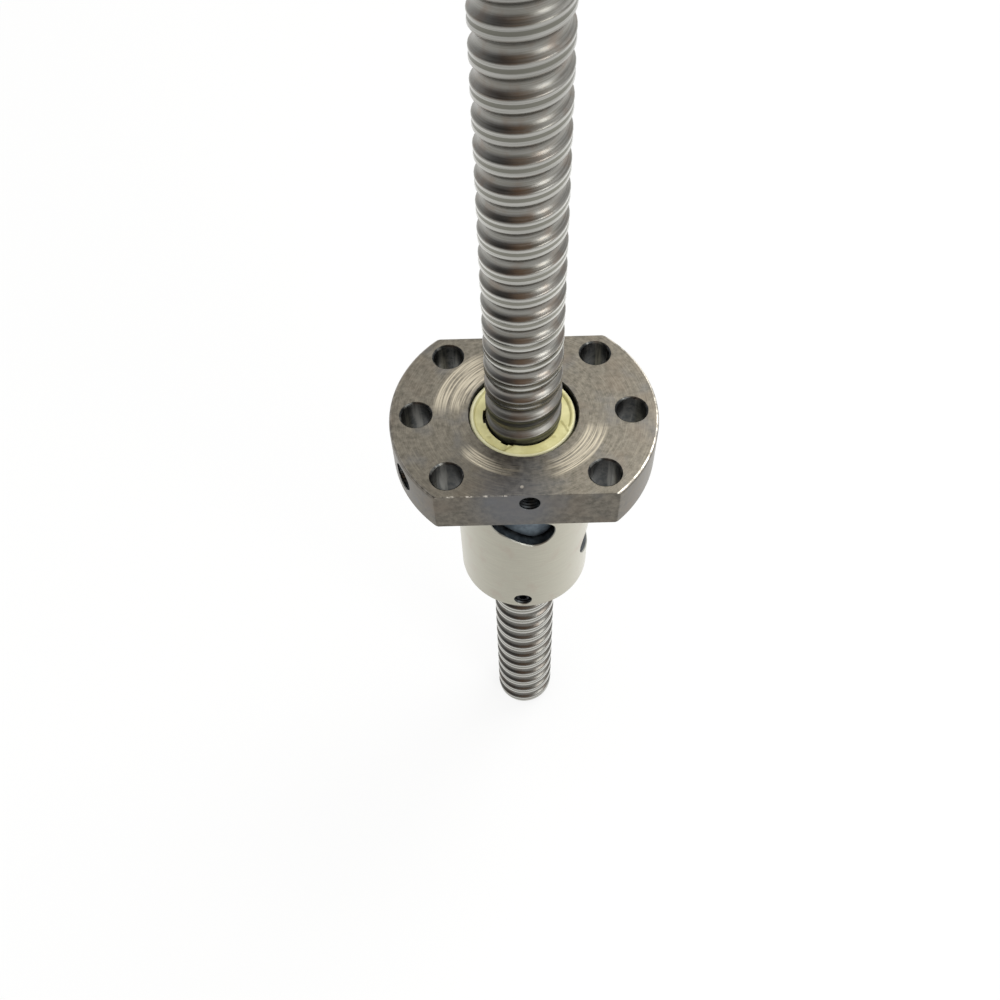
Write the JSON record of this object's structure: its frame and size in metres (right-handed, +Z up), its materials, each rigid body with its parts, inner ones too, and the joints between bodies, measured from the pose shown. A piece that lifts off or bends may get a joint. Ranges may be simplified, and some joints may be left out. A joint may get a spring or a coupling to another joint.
{
  "type": "ball screw",
  "caption": "Rolled right-hand ball screw with a flanged single nut that has internal ball returns, wipers at both ends and two flats.",
  "frame": {"origin": "centre of the screw's lower end face", "axes": "+Z up along the screw, flange long axis along X, flange flats facing -Y and +Y"},
  "size_m": [0.04, 0.03, 0.2],
  "materials": {
    "rolled_thread_steel": "rolled and polished, satin",
    "heat_scaled_steel": "hardened and heat scaled, body ground",
    "sintered_insert_steel": "matt",
    "polished_ball_steel": "polished",
    "blackened_screw_steel": "black oxide",
    "wiper_plastic": "moulded, satin"
  },
  "bodies": {
    "screw": {"screw_shaft": "rolled_thread_steel"},
    "travel_ring": {"lower_wiper": "wiper_plastic"},
    "nut": {"nut_body": "heat_scaled_steel", "return_insert_1": "sintered_insert_steel", "return_insert_2": "sintered_insert_steel", "return_insert_3": "sintered_insert_steel", "return_insert_4": "sintered_insert_steel", "upper_wiper": "wiper_plastic", "upper_wiper_set_screw": "blackened_screw_steel", "lower_wiper_set_screw": "blackened_screw_steel", "ball_1_01": "polished_ball_steel", "ball_1_02": "polished_ball_steel", "ball_1_03": "polished_ball_steel", "ball_1_04": "polished_ball_steel", "ball_1_05": "polished_ball_steel", "ball_1_06": "polished_ball_steel", "ball_1_07": "polished_ball_steel", "ball_1_08": "polished_ball_steel", "ball_1_09": "polished_ball_steel", "ball_1_10": "polished_ball_steel", "ball_1_11": "polished_ball_steel", "ball_1_12": "polished_ball_steel", "ball_2_01": "polished_ball_steel", "ball_2_02": "polished_ball_steel", "ball_2_03": "polished_ball_steel", "ball_2_04": "polished_ball_steel", "ball_2_05": "polished_ball_steel", "ball_2_06": "polished_ball_steel", "ball_2_07": "polished_ball_steel", "ball_2_08": "polished_ball_steel", "ball_2_09": "polished_ball_steel", "ball_2_10": "polished_ball_steel", "ball_2_11": "polished_ball_steel", "ball_2_12": "polished_ball_steel", "ball_3_01": "polished_ball_steel", "ball_3_02": "polished_ball_steel", "ball_3_03": "polished_ball_steel", "ball_3_04": "polished_ball_steel", "ball_3_05": "polished_ball_steel", "ball_3_06": "polished_ball_steel", "ball_3_07": "polished_ball_steel", "ball_3_08": "polished_ball_steel", "ball_3_09": "polished_ball_steel", "ball_3_10": "polished_ball_steel", "ball_3_11": "polished_ball_steel", "ball_3_12": "polished_ball_steel", "ball_4_01": "polished_ball_steel", "ball_4_02": "polished_ball_steel", "ball_4_03": "polished_ball_steel", "ball_4_04": "polished_ball_steel", "ball_4_05": "polished_ball_steel", "ball_4_06": "polished_ball_steel", "ball_4_07": "polished_ball_steel", "ball_4_08": "polished_ball_steel", "ball_4_09": "polished_ball_steel", "ball_4_10": "polished_ball_steel", "ball_4_11": "polished_ball_steel", "ball_4_12": "polished_ball_steel"}
  },
  "joints": [
    {"name": "nut_travel", "type": "slide", "parent": "screw", "child": "travel_ring", "axis": [0, 0, 1], "range_m": [-0.0481, 0.1001]},
    {"name": "nut_spin", "type": "hinge", "parent": "travel_ring", "child": "nut", "pos_m": [0, 0, 0.0736], "axis": [0, 0, 1], "range_deg": [-4320, 9000]}
  ],
  "couplings": [
    {"joint": "nut_travel", "follows": "nut_spin", "m_per_rad": 0.00063662}
  ]
}
